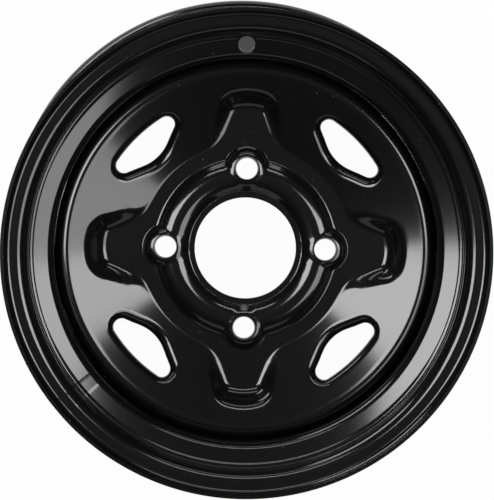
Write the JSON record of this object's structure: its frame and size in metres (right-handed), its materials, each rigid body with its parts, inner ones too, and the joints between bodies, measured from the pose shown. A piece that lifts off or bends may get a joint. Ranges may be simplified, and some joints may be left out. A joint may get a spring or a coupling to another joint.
{
  "type": "steel wheel rim",
  "caption": "Pressed steel wheel: a rolled drop-centre rim with a dished, pocketed and vented disc welded inside, with a raised lug ring and a centre bore.",
  "frame": {"origin": "centre of the hub face, where the wheel axis meets the plane that the hub seats on", "axes": "+Z along the wheel axis to the outboard side, +X and +Y through lug holes; the wheel lies on its inboard lip"},
  "size_m": [0.3352, 0.3352, 0.1942],
  "materials": {
    "black_paint": "satin black paint over steel, with slight orange peel"
  },
  "bodies": {
    "root": {"rim": "black_paint", "disc": "black_paint", "weld_beads": "black_paint"}
  },
  "joints": []
}
